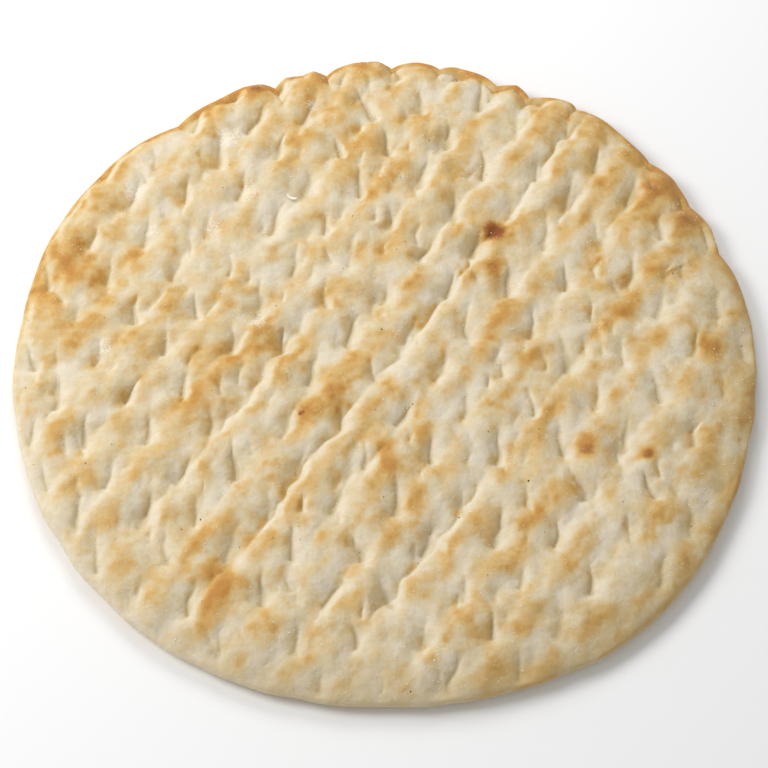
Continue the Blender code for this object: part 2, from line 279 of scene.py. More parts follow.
# How much of each colour shows at most
# Painted shade in the crease floors: how much of the hollow colour shows there
PAINTED_CREASE_SHADE_SHOWS = 0.6
# Painted shade at the sunken front right: how much of the hollow colour shows there
PAINTED_DROOP_SHADE_SHOWS = 0.45
POWDER_SHOWS = 0.35
DRIFT_SHOWS = 0.60

# What lies loose on the crust
SCATTER_REACH = 0.985  # share of the radius
DROP_HEIGHT = 0.1  # metres
GRAIN_LENGTH_RANGE = (0.8, 1.3)
GRAIN_WIDTH_RANGE = (0.7, 1.0)
GRAIN_PROUD = 0.35  # how far a grain stands out, against its thickness
# How grains look: (spread of their size, the largest against the common one, flatness)
FLOUR_GRAINS = (0.5, 2.0, 0.7)
SPECK_GRAINS = (0.3, 5.0, 0.5)
FLOUR_CLOUD_SIZE = 16 * MM
FLOUR_CLOUDS = (0.4, 1.4, 0.05)  # (mean, swing, least)
# The loose curls of dough: (x, y, length, degrees), then their shape as shares of their length
CURLS = (
    (-39.6 * MM, 78.4 * MM, 5.2 * MM, -25),
    (-10 * MM, 76 * MM, 1.8 * MM, 60),
    (52 * MM, 12 * MM, 1.6 * MM, 15),
)
CURL_WIDTH = 0.26
CURL_THICKNESS = 0.16
CURL_BEND = 0.16
CURL_LIFT = 0.14
CURL_CLEARANCE = 0.10

# The stage
TABLE_HALF_WIDTH = 3
SOFT_BOX_WIDTH = 0.5  # share of its distance
CAMERA_AIM = (0.000416, -0.001411, 0.006)
CAMERA_DISTANCE = 1.129
CAMERA_ANGLE = 59.4  # degrees above the table
CAMERA_LENS = 129.225
CAMERA_SHIFT = (-0.00234, -0.02422)


def soft_step(value):
    """0 below 0, 1 above 1, and smooth in between."""
    clipped = np.clip(value, 0, 1)
    return clipped * clipped * (3 - 2 * clipped)


def swelling(x, y, size, offset):
    """Smooth noise between about -1 and 1, in swellings of one size, each offset another one."""
    points = zip(x / size + offset, y / size - offset)
    return np.array([1.6 * noise.noise(Vector((px, py, offset))) for px, py in points])


def turned(x, y, degrees):
    """The same places measured along a direction and square to it, to its left."""
    angle = math.radians(degrees)
    return x * math.cos(angle) + y * math.sin(angle), y * math.cos(angle) - x * math.sin(angle)


def notch_depth(angle):
    """Depth of the edge's notches in each direction."""
    depth = np.zeros_like(angle)
    for degrees, deep, width in EDGE_NOTCHES:
        away = np.abs(np.mod(angle - math.radians(degrees) + math.pi, 2 * math.pi) - math.pi)
        depth = np.maximum(depth, deep * MM * np.exp(-away * CRUST_RADIUS / (width * MM)))
    return depth


def outline_radius(angle):
    """Distance from the middle to the edge of the crust in each direction."""
    radius = CRUST_RADIUS - notch_depth(angle)
    for waves, height, degrees in OUTLINE_WAVES:
        radius += height * MM * np.cos(waves * angle + math.radians(degrees))
    x, y = CRUST_RADIUS * np.cos(angle), CRUST_RADIUS * np.sin(angle)
    return radius + EDGE_UNEVENNESS * swelling(x, y, EDGE_UNEVENNESS_SIZE, offset=81.3)


def row_coordinates(x, y):
    """Distance along the rows and across them, on the lattice as it was before the dough crept."""
    along, across = turned(x, y, ROW_ANGLE)
    s = along / CRUST_RADIUS
    t = across / CRUST_RADIUS
    across = across - ROW_BOW * s * s - ROW_FAN * s * t - ROW_CROWDING * t * t
    return along - PIN_FAN * s * t, across - FIRST_ROW


def sharp_valley(distance, right_side, left_side):
    """The section of a groove from 1 on its floor to 0 far away, with distance counted to the left."""
    away = np.hypot(distance, FLOOR_ROUNDING) - FLOOR_ROUNDING
    return np.exp(-away / np.where(distance > 0, left_side, right_side))


def ridge_relief(across):
    """Depth of the rows' valleys below the ridges, as negative heights."""
    share = np.mod(across / ROW_PITCH, 1)
    gentle = np.sin(math.pi / 2 * np.minimum(share / CREST_AT, 1))
    steep = np.sin(math.pi / 2 * np.minimum((1 - share) / (1 - CREST_AT), 1))
    return VALLEY_DEPTH * (np.minimum(gentle, steep) - 1)


def showing(coming_and_going, rule):
    """How much of a crease shows: its mean and swing round it, kept between least and most."""
    mean, swing, least, most = rule
    return np.clip(mean + swing * coming_and_going, least, most)


def crease_relief(along, across):
    """Depth of the long creases and of the lighter ones that come and go, as negative heights."""
    across = across + ROW_CREASE_WANDER * swelling(along, across, ROW_CREASE_WANDER_SIZE, offset=14.4)
    coming_and_going = swelling(along, across, ROW_CREASE_LENGTH, offset=17.2)
    relief = np.zeros_like(along)
    for row, start, end, depth in LONG_CREASES:
        inside = soft_step((along - start * MM) / CREASE_FADE)
        inside = inside * soft_step((end * MM - along) / CREASE_FADE)
        section = sharp_valley(across - row * ROW_PITCH, CREASE_STEEP_SIDE, CREASE_GENTLE_SIDE)
        relief -= depth * MM * inside * section * showing(coming_and_going, LONG_CREASE_SHOWS)
    off_row = across - np.round(across / ROW_PITCH) * ROW_PITCH
    much = showing(coming_and_going, ROW_CREASE_SHOWS)
    much *= 1 - SMOOTHER_SHARE * soft_step((across - SMOOTHER_BEYOND) / SMOOTHER_OVER)
    section = sharp_valley(off_row, ROW_CREASE_STEEP_SIDE, ROW_CREASE_GENTLE_SIDE)
    return relief - ROW_CREASE * much * section


def marks():
    """Every pin mark and the wrinkles round it, as (along, across, depth, size, angle)."""
    draw = random.Random(SEED)
    for row in range(-ROWS_EACH_SIDE, ROWS_EACH_SIDE + 1):
        for pin in range(-PINS_EACH_SIDE, PINS_EACH_SIDE + 1):
            along = FIRST_PIN + pin * PIN_PITCH + row * ROW_STAGGER
            across = row * ROW_PITCH
            yield (
                along + draw.gauss(0, PIN_WANDER),
                across + draw.gauss(0, PIN_WANDER),
                PIN_DEPTH * draw.uniform(*PIN_DEPTH_RANGE),
                draw.uniform(*PIN_SIZE_RANGE),
                draw.gauss(MARK_ANGLE, MARK_ANGLE_SPREAD),
            )
            for _ in range(0 if row in SMOOTH_ROWS else WRINKLES):
                yield (
                    along + PIN_PITCH * draw.uniform(0, 1),
                    across + ROW_PITCH * draw.uniform(*WRINKLE_ACROSS_RANGE),
                    WRINKLE_DEPTH * draw.uniform(*WRINKLE_DEPTH_RANGE),
                    WRINKLE_SIZE * draw.uniform(*WRINKLE_SIZE_RANGE),
                    draw.gauss(MARK_ANGLE, WRINKLE_ANGLE_SPREAD),
                )


def mark_relief(along, across):
    """Depth of all the grooves together, as negative heights, and how deep their narrow floors are."""
    relief = np.zeros_like(along)
    floors = np.zeros_like(along)
    for mark_along, mark_across, depth, size, angle in marks():
        da = along - mark_along
        dc = across - mark_across
        near = np.hypot(da, dc) < MARK_REACH * MARK_TAIL * size
        up, left = turned(da[near], dc[near], angle - ROW_ANGLE)
        tail = np.maximum(up, 0) / (MARK_TAIL * size)
        toe = np.maximum(-up, 0) / (MARK_TOE * size)
        width = size * np.where(left > 0, MARK_GENTLE_SIDE, MARK_STEEP_SIDE)
        width *= 1 - MARK_TAPER * (1 - np.exp(-tail))
        rounding = FLOOR_ROUNDING / width
        away = np.sqrt((left / width) ** 2 + toe**2 + rounding**2) - rounding
        relief[near] -= depth * np.exp(-away - tail**3)
        floors[near] = np.maximum(floors[near], depth * np.exp(-FLOOR_SHARPNESS * away - tail**3))
    return relief, floors


def swelling_relief(x, y):
    """Height of the swellings of the risen dough."""
    lengthwise, sideways = turned(x, y, MARK_ANGLE)
    relief = np.zeros_like(x)
    for number, (size, height) in enumerate(SWELLINGS):
        offset = 11.1 * (number + 1)
        relief += height * swelling(lengthwise / SWELLING_STRETCH, sideways, size, offset)
    return relief


def pillow_relief(x, y):
    """Height of the small rounded lumps that meet in creases, and how deep the creases are."""
    lengthwise, sideways = turned(x, y, MARK_ANGLE)
    relief = np.zeros_like(x)
    creases = np.zeros_like(x)
    for number, (size, height) in enumerate(PILLOWS):
        offset = 63.1 + 4.9 * number
        pattern = swelling(lengthwise / PILLOW_STRETCH, sideways, size, offset)
        relief += height * (np.hypot(pattern, PILLOW_CREASE) - PILLOW_MEAN)
        creases = np.maximum(creases, height * np.exp(-np.abs(pattern) / PILLOW_CREASE))
    return relief, creases


def crinkle_relief(x, y):
    """Depth of the skin's fine crinkles: thin creases between small rounded folds."""
    lengthwise, sideways = turned(x, y, MARK_ANGLE)
    patches = swelling(x, y, CRINKLE_PATCHES, offset=5.5)
    where = soft_step(CRINKLED_SHARE + CRINKLE_PATCH_CONTRAST * patches)
    relief = np.zeros_like(x)
    for number, (size, depth) in enumerate(CRINKLES):
        offset = 21.7 + 6.3 * number
        pattern = swelling(lengthwise / CRINKLE_STRETCH, sideways, size, offset)
        relief -= depth * where * np.exp(-np.abs(pattern) / CRINKLE_SHARPNESS)
    return relief


def fold_relief(x, y):
    """Height of the thin lip near the right edge and of the fold in front of it."""
    start, end = Vector(FOLD_START), Vector(FOLD_END)
    length = (end - start).length
    heading = (end - start) / length
    along = (x - start.x) * heading.x + (y - start.y) * heading.y
    across = (y - start.y) * heading.x - (x - start.x) * heading.y
    share = along / length
    across = across - FOLD_BOW * 4 * share * (1 - share)
    inside = soft_step(share / FOLD_ENDS) * soft_step((1 - share) / FOLD_ENDS)
    lip = FOLD_HEIGHT * np.exp(-((across / FOLD_LIP_WIDTH) ** 2))
    fold = FOLD_DEPTH * sharp_valley(across + FOLD_BEFORE_LIP, FOLD_FRONT_SIDE, FOLD_LIP_SIDE)
    return inside * (lip - fold)


def top_relief(x, y):
    """Height of all that is on the top of the smooth disc, and how deep its narrow floors are."""
    along, across = row_coordinates(x, y)
    across = across + VALLEY_WANDER * swelling(x, y, VALLEY_WANDER_SIZE, offset=2.7)
    along = along + VALLEY_WANDER * swelling(x, y, VALLEY_WANDER_SIZE, offset=9.2)
    across = across + PIT_UNEVENNESS * swelling(x, y, PIT_UNEVENNESS_SIZE, offset=4.4)
    along = along + PIT_UNEVENNESS * swelling(x, y, PIT_UNEVENNESS_SIZE, offset=6.1)
    relief, floors = mark_relief(along, across)
    relief += ridge_relief(across) + crease_relief(along, across)
    pillows, gaps = pillow_relief(x, y)
    relief += swelling_relief(x, y) + pillows + crinkle_relief(x, y) + fold_relief(x, y)
    return relief, np.maximum(floors, gaps)


def edge_share(x, y, distance_in):
    """How much of the top's relief is left near the edge."""
    front = soft_step(FRONT_MIDDLE - FRONT_SHARPNESS * np.sin(np.arctan2(y, x)))
    fade = soft_step(distance_in / EDGE_FADE)
    share = fade + (1 - fade) * (1 - (1 - SMOOTH_FRONT) * front)
    return share * soft_step(distance_in / RIM_BAND)


def facing(x, y, degrees, middle, sharpness):
    """1 on the side of the crust in a direction, 0 on the far side, and smooth in between."""
    turn = np.cos(np.arctan2(y, x) - math.radians(degrees))
    return soft_step(middle + sharpness * turn)


def droop_share(x, y, distance_in):
    """How much each point takes part in the sinking of the edge at the front right."""
    side = facing(x, y, *DROOP_SIDE)
    return side * soft_step(1 - distance_in / DROOP_REACH)


def notch_relief(x, y, distance_in):
    """Depth of the notches where they run in over the top, as negative heights."""
    notches = NOTCH_SHARE * notch_depth(np.arctan2(y, x)) * np.exp(-distance_in / NOTCH_REACH)
    return -notches * soft_step(distance_in / RIM_BAND)


def hexagon_disc(rings):
    """A disc of radius 1 made of small triangles: a hexagon of them, drawn out to the circle."""
    mesh = bmesh.new()
    bmesh.ops.create_circle(mesh, cap_ends=True, cap_tris=True, segments=6, radius=1)
    bmesh.ops.subdivide_edges(mesh, edges=mesh.edges[:], cuts=rings - 1, use_grid_fill=True)
    points = np.array([vert.co for vert in mesh.verts])
    angle = np.arctan2(points[:, 1], points[:, 0])
    sixth = math.pi / 3
    turn = np.mod(angle - math.pi / 2, sixth)
    share = np.hypot(points[:, 0], points[:, 1]) * np.cos(turn - sixth / 2) / math.cos(sixth / 2)
    side_share = np.sin(turn) / (np.sin(turn) + np.sin(sixth - turn))
    angle = angle - turn + sixth * side_share
    share = np.clip(share, 0, 1)
    for vert, x, y in zip(mesh.verts, share * np.cos(angle), share * np.sin(angle)):
        vert.co = (x, y, 0)
    return mesh


def split_bent_faces(mesh, places, wanted):
    """Splits every edge of the faces round which the skin bends most, this many of them."""
    corners = np.array([[vert.index for vert in face.verts] for face in mesh.faces])
    first, second, third = (places[corners[:, number]] for number in range(3))
    normals = np.cross(second - first, third - first)
    normals /= np.linalg.norm(normals, axis=1)[:, None] + 1e-15
    around = np.zeros((len(places), 3))
    for number in range(3):
        np.add.at(around, corners[:, number], normals)
    counts = np.bincount(corners.ravel(), minlength=len(places))
    bend = 1 - np.linalg.norm(around, axis=1) / np.maximum(counts, 1)
    order = np.argsort(-bend[corners].max(axis=1), kind="stable")
    mesh.faces.ensure_lookup_table()
    picked = dict.fromkeys(edge for index in order[:wanted] for edge in mesh.faces[index].edges)
    bmesh.ops.subdivide_edges(mesh, edges=list(picked), cuts=1, use_grid_fill=True)
    bmesh.ops.triangulate(mesh, faces=[face for face in mesh.faces if len(face.verts) > 3])
    mesh.verts.index_update()
    mesh.faces.index_update()


def edge_profile(side):
    """The section of the smooth disc: distance in from the edge, height, and length along it."""
    near_edge = np.linspace(0, 1, SHOULDER_SAMPLES) ** 2 * SHOULDER
    further_in = np.linspace(SHOULDER, CRUST_RADIUS, FLAT_SAMPLES)[1:]
    distance_in = np.concatenate([near_edge, further_in])
    if side > 0:
        rise = np.sqrt(1 - np.exp(-2 * distance_in / SHOULDER))
        height = WAIST_HEIGHT + (THICKNESS - WAIST_HEIGHT) * rise
    else:
        drop = np.clip(1 - distance_in / FOOT_ROUNDING, 0, 1)
        height = WAIST_HEIGHT * (1 - np.sqrt(1 - drop**2))
    length = np.concatenate([[0], np.cumsum(np.hypot(np.diff(distance_in), np.diff(height)))])
    return distance_in, height, length


def skin_points(disc_x, disc_y, side):
    """Where the points of a disc of radius 1 go on the top or the underside.

    Each row: x, y, z, then x and y before the relief, distance in from the edge, relief, floors.
    """
    share, angle = np.clip(np.hypot(disc_x, disc_y), 0, 1), np.arctan2(disc_y, disc_x)
    sample, height, length = edge_profile(side)
    place = WAIST_BAND + (1 - share) * (length[-1] - WAIST_BAND)
    distance_in = np.interp(place, length, sample)
    radius = outline_radius(angle) * (1 - distance_in / CRUST_RADIUS)
    z = np.interp(place, length, height)
    flat_x, flat_y = radius * np.cos(angle), radius * np.sin(angle)
    x, y = flat_x, flat_y
    relief = floors = np.zeros_like(x)
    if side > 0:
        relief, floors = top_relief(x, y)
        sunk = droop_share(x, y, distance_in)
        z = z - DROOP * sunk * (z - WAIST_HEIGHT) / (THICKNESS - WAIST_HEIGHT)
        push = relief * edge_share(x, y, distance_in) * (1 - DROOP_SMOOTHING * sunk)
        push += notch_relief(x, y, distance_in)
        outwards = np.interp(place, length, np.gradient(height, length))
        upwards = np.interp(place, length, np.gradient(sample, length))
        x = x + push * outwards * np.cos(angle)
        y = y + push * outwards * np.sin(angle)
        z = z + push * upwards
    return np.column_stack([x, y, z, flat_x, flat_y, distance_in, relief, floors])


def half_skin(side, rings, splits=()):
    """The top or the underside as an open mesh that stops just short of the waist.

    Returns the mesh and its skin_points. Each number in splits is how many bent faces to split.
    """
    mesh = hexagon_disc(rings)
    disc = np.array([vert.co for vert in mesh.verts])
    points = skin_points(disc[:, 0], disc[:, 1], side)
    for wanted in splits:
        split_bent_faces(mesh, points[:, :3], wanted)
        disc = np.array([vert.co for vert in mesh.verts])[len(points) :]
        points = np.vstack([points, skin_points(disc[:, 0], disc[:, 1], side)])
    for vert, where in zip(mesh.verts, points[:, :3]):
        vert.co = where
    if side < 0:
        bmesh.ops.reverse_faces(mesh, faces=mesh.faces[:])
    return mesh, points


def spot_sum(x, y, spots, raggedness):
    """Soft round spots, each with a ragged edge: the deepest of them at each point."""
    ragged = 1 + raggedness * swelling(x, y, SPOT_RAGGED_SIZE, offset=31.0)
    total = np.zeros_like(x)
    for spot_x, spot_y, radius, much in spots:
        away = np.hypot(x - spot_x * MM, y - spot_y * MM) / (radius * MM * ragged)
        total = np.maximum(total, much * np.exp(-(away**SPOT_FLATNESS)))
    return total


def patch_sum(x, y):
    """The broad patches that took more or less heat, added up."""
    total = np.zeros_like(x)
    for patch_x, patch_y, radius, much in TOASTED_PATCHES:
        away = np.hypot(x - patch_x * MM, y - patch_y * MM) / (radius * MM)
        total += much * np.exp(-(away**2))
    return total


def rim_toast(x, y, distance_in):
    """How brown the rim is, with its thin line at the back."""
    degrees = np.degrees(np.arctan2(y, x))
    total = np.zeros_like(x)
    for middle, spread, much in RIM_TOAST:
        away = np.abs(np.mod(degrees - middle + 180, 360) - 180) / spread
        total = np.maximum(total, much * np.exp(-(away**2)))
    ragged = 1 + RIM_RAGGEDNESS * swelling(x, y, RIM_RAGGED_SIZE, offset=40.0)
    back = soft_step(BACK_LINE_MIDDLE + np.sin(np.radians(degrees)))
    line = BACK_LINE * back * ragged * np.exp(-((distance_in / BACK_LINE_WIDTH) ** 2))
    return total * np.exp(-((distance_in / (RIM_TOAST_REACH * ragged)) ** 2)) + line


def top_toast_and_painted_light(x, y, distance_in, relief, slope):
    """How toasted each point of the top is, with painted light and shade on its slopes."""
    along, across = row_coordinates(x, y)
    across = across + VALLEY_WANDER * swelling(x, y, VALLEY_WANDER_SIZE, offset=2.7)
    phase = np.mod(across / ROW_PITCH, 1)
    toast = TOAST_MEAN + TOAST_ON_ROWS * np.cos(2 * math.pi * (phase - TOAST_PEAK))
    toast += TOAST_ON_HEIGHT * (relief - relief.mean()) / MM
    lengthwise, sideways = turned(x, y, ROW_ANGLE)
    for number, (size, much) in enumerate(TOAST_BLOTCHES):
        offset = 50.3 + 3.7 * number
        toast += much * swelling(lengthwise / BLOTCH_STRETCH, sideways, size, offset) / BLOTCH_SPREAD
    toast += patch_sum(x, y)
    # Painted light and shade: slopes facing the soft box are painted paler, slopes facing away are
    # painted warmer and darker
    toast *= 1 - PAINTED_LIGHT_ON_RISES * soft_step((slope - PAINTED_LIGHT_FROM) / PAINTED_LIGHT_OVER)
    toast += PAINTED_SHADE_ON_FALLS * soft_step(-slope / PAINTED_SHADE_OVER) + rim_toast(x, y, distance_in)
    front = facing(x, y, *FRONT_PALE_SIDE)
    toast *= 1 - FRONT_PALE * front * (1 - soft_step(distance_in / FRONT_PALE_REACH))
    return toast


def steepness(mesh):
    """How steeply the skin rises to the right at each point, as rise over run."""
    mesh.normal_update()
    normals = np.array([vert.normal for vert in mesh.verts])
    smallest_rise = 0.05  # keeps the upright edge from counting as endlessly steep
    return -normals[:, 0] / np.maximum(np.abs(normals[:, 2]), smallest_rise)


def underside_toast(x, y):
    """The oven's stone marks the underside in blotches."""
    toast = np.full_like(x, UNDERSIDE_TOAST)
    for number, (size, much) in enumerate(UNDERSIDE_BLOTCHES):
        toast += much * swelling(x, y, size, offset=71.0 + 3.0 * number)
    return toast


def skin_mesh(top_rings, splits, underside_rings):
    """The whole skin as one closed mesh, with its attributes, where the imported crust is."""
    top, points = half_skin(1, top_rings, splits)
    x, y, distance_in, relief, floors = points[:, 3:].T
    under, under_points = half_skin(-1, underside_rings)
    ux, uy, udistance = under_points[:, 3:6].T
    zeros = np.zeros_like(ux)
    toast = top_toast_and_painted_light(x, y, distance_in, relief, steepness(top))
    under_toast = underside_toast(ux, uy) + rim_toast(ux, uy, udistance)
    inside = edge_share(x, y, distance_in)
    # Painted shade over the sunken front right, strongest near the edge
    dull = np.concatenate([droop_share(x, y, distance_in), droop_share(ux, uy, udistance)]) ** 2
    attributes = {
        # toast also holds the painted light and shade of the top's slopes
        "toast": np.concatenate([toast, under_toast]),
        "scorch": np.concatenate([spot_sum(x, y, SCORCHES, SCORCH_RAGGEDNESS), zeros]),
        # The crease floors' depth, which places the painted shade in them
        "crease": np.concatenate([floors * inside / MM, zeros]),
        "flour": np.concatenate([spot_sum(x, y, FLOUR_DRIFTS, DRIFT_RAGGEDNESS), zeros]),
        "dull": dull,
        "underside": np.concatenate([np.zeros_like(x), soft_step(udistance / UNDERSIDE_EDGE)]),
    }
    joined = bmesh.new()
    for half in (top, under):
        data = bpy.data.meshes.new("half")
        half.to_mesh(data)
        half.free()
        joined.from_mesh(data)
        bpy.data.meshes.remove(data)
    rims = [edge for edge in joined.edges if edge.is_boundary]
    bmesh.ops.bridge_loops(joined, edges=rims)
    bmesh.ops.triangulate(joined, faces=[face for face in joined.faces if len(face.verts) > 3])
    bmesh.ops.recalc_face_normals(joined, faces=joined.faces[:])
    places = np.array([vert.co for vert in joined.verts])
    lowest, highest = places.min(axis=0), places.max(axis=0)
    middle = (NODE_LOW + NODE_HIGH) / 2 - Vector((lowest + highest) / 2)
    bmesh.ops.translate(joined, verts=joined.verts[:], vec=(middle.x, middle.y, 0))
    data = finished(joined, "dough_skin")
    for name, values in attributes.items():
        attribute = data.attributes.new(name, "FLOAT", "POINT")
        attribute.data.foreach_set("value", values.astype(np.float32))
    return data


class Wire:
    """One output of a node. Arithmetic on it adds the Math node that does it."""

    def __init__(self, recipe, socket):
        self.recipe = recipe
        self.socket = socket

    def math(self, operation, *values):
        """A Math node on these values, which may be wires or numbers."""
        inputs = dict(enumerate(values))
        return self.recipe.node("ShaderNodeMath", {"operation": operation}, inputs)

    def __add__(self, other):
        return self.math("ADD", self, other)

    __radd__ = __add__

    def __sub__(self, other):
        return self.math("SUBTRACT", self, other)

    def __rsub__(self, other):
        return self.math("SUBTRACT", other, self)

    def __mul__(self, other):
        return self.math("MULTIPLY", self, other)

    __rmul__ = __mul__

    def __truediv__(self, other):
        return self.math("DIVIDE", self, other)

    def __rtruediv__(self, other):
        return self.math("DIVIDE", other, self)

    def step(self, low, high):
        """0 below low, 1 above high, and smooth in between."""
        return self.recipe.node(
            "ShaderNodeMapRange",
            {"interpolation_type": "SMOOTHSTEP"},
            {"Value": self, "From Min": low, "From Max": high},
        )


class Recipe:
    """A material and its node tree. One method adds any node to it."""

    def __init__(self, name):
        self.material = bpy.data.materials.new(name)
        self.material.use_nodes = True
        self.tree = self.material.node_tree
        self.shader = self.tree.nodes["Principled BSDF"]

    def put(self, socket, value):
        """Links a wire to a socket, or sets the socket to a constant."""
        if isinstance(value, Wire):
            self.tree.links.new(value.socket, socket)
        else:
            socket.default_value = value

    def node(self, kind, settings=None, inputs=None, output=0):
        """A node of this kind: its settings first, then its sockets. Returns one of its outputs."""
        made = self.tree.nodes.new(kind)
        for setting, value in (settings or {}).items():
            if setting == "stops":
                ramp = made.color_ramp
                while len(ramp.elements) < len(value):
                    ramp.elements.new(1)
                for element, (place, colour) in zip(ramp.elements, value):
                    element.position = place
                    element.color = colour
            else:
                setattr(made, setting, value)
        for socket, value in (inputs or {}).items():
            self.put(made.inputs[socket], value)
        return Wire(self, made.outputs[output])

    def attribute(self, name):
        """A number that the mesh keeps for each of its points."""
        return self.node("ShaderNodeAttribute", {"attribute_name": name}, output="Fac")

    def places(self):
        """Places on the piece."""
        coordinates = self.node("ShaderNodeTexCoord", output="Object")
        return self.node("ShaderNodeMapping", {"vector_type": "TEXTURE"}, {"Vector": coordinates})

    def noise(self, places, size, detail, roughness):
        """Noise between 0 and 1, in grains of one size."""
        return self.node(
            "ShaderNodeTexNoise",
            {},
            {"Vector": places, "Scale": 1 / size, "Detail": detail, "Roughness": roughness},
        )

    def blend(self, factor, first, second):
        """A colour between two others, by the sockets that the node keeps for colours."""
        return self.node(
            "ShaderNodeMix", {"data_type": "RGBA"}, {0: factor, 6: first, 7: second}, output=2
        )

    def bump(self, height):
        """A normal from heights in millimetres."""
        return self.node("ShaderNodeBump", {}, {"Height": height, "Distance": MM, "Strength": 1.0})


def dough_material(colours):
    """Baked dough: colour from its toasting, painted warm shade in the hollows and at the sunken front
    right, drifts of flour, lumps and blisters.
    """
    recipe = Recipe("baked_dough_skin")
    toast = recipe.attribute("toast")
    scorch = recipe.attribute("scorch")
    crease = recipe.attribute("crease")
    flour = recipe.attribute("flour")
    underside = recipe.attribute("underside")
    places = recipe.places()

    lumps = recipe.noise(places, 3.6 * MM, 1.0, 0.45)
    dapples = recipe.noise(places, 1.5 * MM, 1.0, 0.5)
    grain = recipe.noise(places, 0.5 * MM, 1.0, 0.5)
    cells = recipe.node(
        "ShaderNodeTexVoronoi",
        {"feature": "SMOOTH_F1"},
        {"Vector": places, "Scale": 1 / (4.2 * MM), "Smoothness": 0.4},
    )
    blisters = cells.step(0.62, 0.12) * recipe.noise(places, 14 * MM, 2.0, 0.5).step(0.46, 0.62)
    level = toast + scorch * SCORCH_TOAST + (lumps - 0.5) * LUMP_TOAST
    level = level + (dapples - 0.5) * DAPPLE_TOAST + blisters * BLISTER_TOAST
    freckles = recipe.noise(places, 7.0 * MM, 1.0, 0.5).step(0.52, 0.68) * toast.step(0.40, 0.62)
    level = level + (grain - 0.5) * GRAIN_TOAST + freckles * FRECKLE_TOAST

    baked = recipe.node(
        "ShaderNodeValToRGB",
        {
            "stops": (
                (0.0, tuple(colours.pale_colour)),
                (0.27, tuple(colours.cream_colour)),
                (0.53, tuple(colours.golden_colour)),
                (0.75, tuple(colours.toasted_colour)),
                (1.0, tuple(colours.brown_colour)),
            )
        },
        {0: level / FULL_TOAST},
    )
    burnt = (scorch + (dapples - 0.5) * 0.3 * scorch.step(0.0, 0.4)).step(0.45, 1.05)
    colour = recipe.blend(burnt, baked, tuple(colours.scorched_colour))
    painted_shade_colour = tuple(colours.painted_shade_colour)
    # Painted shade: the warm dark hollow colour over the narrow floors of the pin marks and creases,
    # where shade falls
    colour = recipe.blend(crease.step(0.4, 2.6) * PAINTED_CREASE_SHADE_SHOWS, colour, painted_shade_colour)
    # Painted shade: the same colour over the sunken front right, which faces away from the lights
    colour = recipe.blend(recipe.attribute("dull") * PAINTED_DROOP_SHADE_SHOWS, colour, painted_shade_colour)
    dusty = recipe.noise(places, 6 * MM, 2.0, 0.6).step(0.50, 0.64)
    fine = recipe.noise(places, 0.8 * MM, 2.0, 0.7)
    powder = dusty * fine.step(0.45, 0.62) * (1 - underside) * (1 - level.step(0.45, 0.75))
    drift = (fine * 1.4 + flour * 0.6).step(0.85, 1.30) * flour.step(0.0, 0.5)
    colour = recipe.blend(powder * POWDER_SHOWS, colour, tuple(colours.flour_colour))
    colour = recipe.blend(drift * DRIFT_SHOWS, colour, tuple(colours.drift_colour))

    height = (
        (lumps - 0.5) * LUMP_HEIGHT
        + (dapples - 0.5) * DAPPLE_HEIGHT
        + (grain - 0.5) * GRAIN_HEIGHT
        + blisters * BLISTER_HEIGHT
        + powder * POWDER_HEIGHT
        + drift * DRIFT_HEIGHT
    )
    recipe.put(recipe.shader.inputs["Base Color"], colour)
    recipe.put(recipe.shader.inputs["Normal"], recipe.bump(height))
    recipe.put(recipe.shader.inputs["Roughness"], 0.62 + powder * 0.25 - (level - 0.4) * 0.10)
    recipe.shader.inputs["Specular IOR Level"].default_value = 0.3
    recipe.shader.inputs["Subsurface Weight"].default_value = 0.4
    recipe.shader.inputs["Subsurface Radius"].default_value = (1.0, 0.55, 0.25)
    recipe.shader.inputs["Subsurface Scale"].default_value = 2.0 * MM
    return recipe.material


def crumb_material(name, dark, light, size, roughness):
    """A dry grainy finish between two colours, for flour, specks and flakes."""
    recipe = Recipe(name)
    places = recipe.places()
    grain = recipe.noise(places, size, 3.0, 0.6)
    patches = recipe.noise(places, 6 * size, 2.0, 0.5)
    shade = (0.6 * grain + 0.4 * patches).step(0.3, 0.7)
    recipe.put(recipe.shader.inputs["Base Color"], recipe.blend(shade, dark, light))
    recipe.put(recipe.shader.inputs["Normal"], recipe.bump(0.05 * grain))
    recipe.put(recipe.shader.inputs["Roughness"], roughness - 0.1 * shade)
    return recipe.material


def finished(mesh, name):
    """The bmesh as mesh data of this name, shaded smooth."""
    data = bpy.data.meshes.new(name)
    mesh.to_mesh(data)
    mesh.free()
    data.shade_smooth()
    return data


def add_piece(name, data, material):
    """A finished piece in the scene, at the origin, riding on the crust's body."""
    data.materials.append(material)
    piece = bpy.data.objects.new(name, data)
    bpy.context.scene.collection.objects.link(piece)
    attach(piece, BODY)
    return piece


def crust_surface():
    """The finished skin as something to drop things on."""
    skin = bpy.data.objects.get("dough_skin")
    if skin is None:
        raise RuntimeError("make the dough skin before what lies on it")
    mesh = bmesh.new()
    mesh.from_mesh(skin.data)
    surface = BVHTree.FromBMesh(mesh)
    mesh.free()
    return surface


def dropped(surface, x, y):
    """Where something dropped at x, y comes to rest, and which way the skin faces there."""
    place, normal, _, _ = surface.ray_cast(Vector((x, y, DROP_HEIGHT)), Vector((0, 0, -1)))
    if place is None:
        return None
    return place, normal


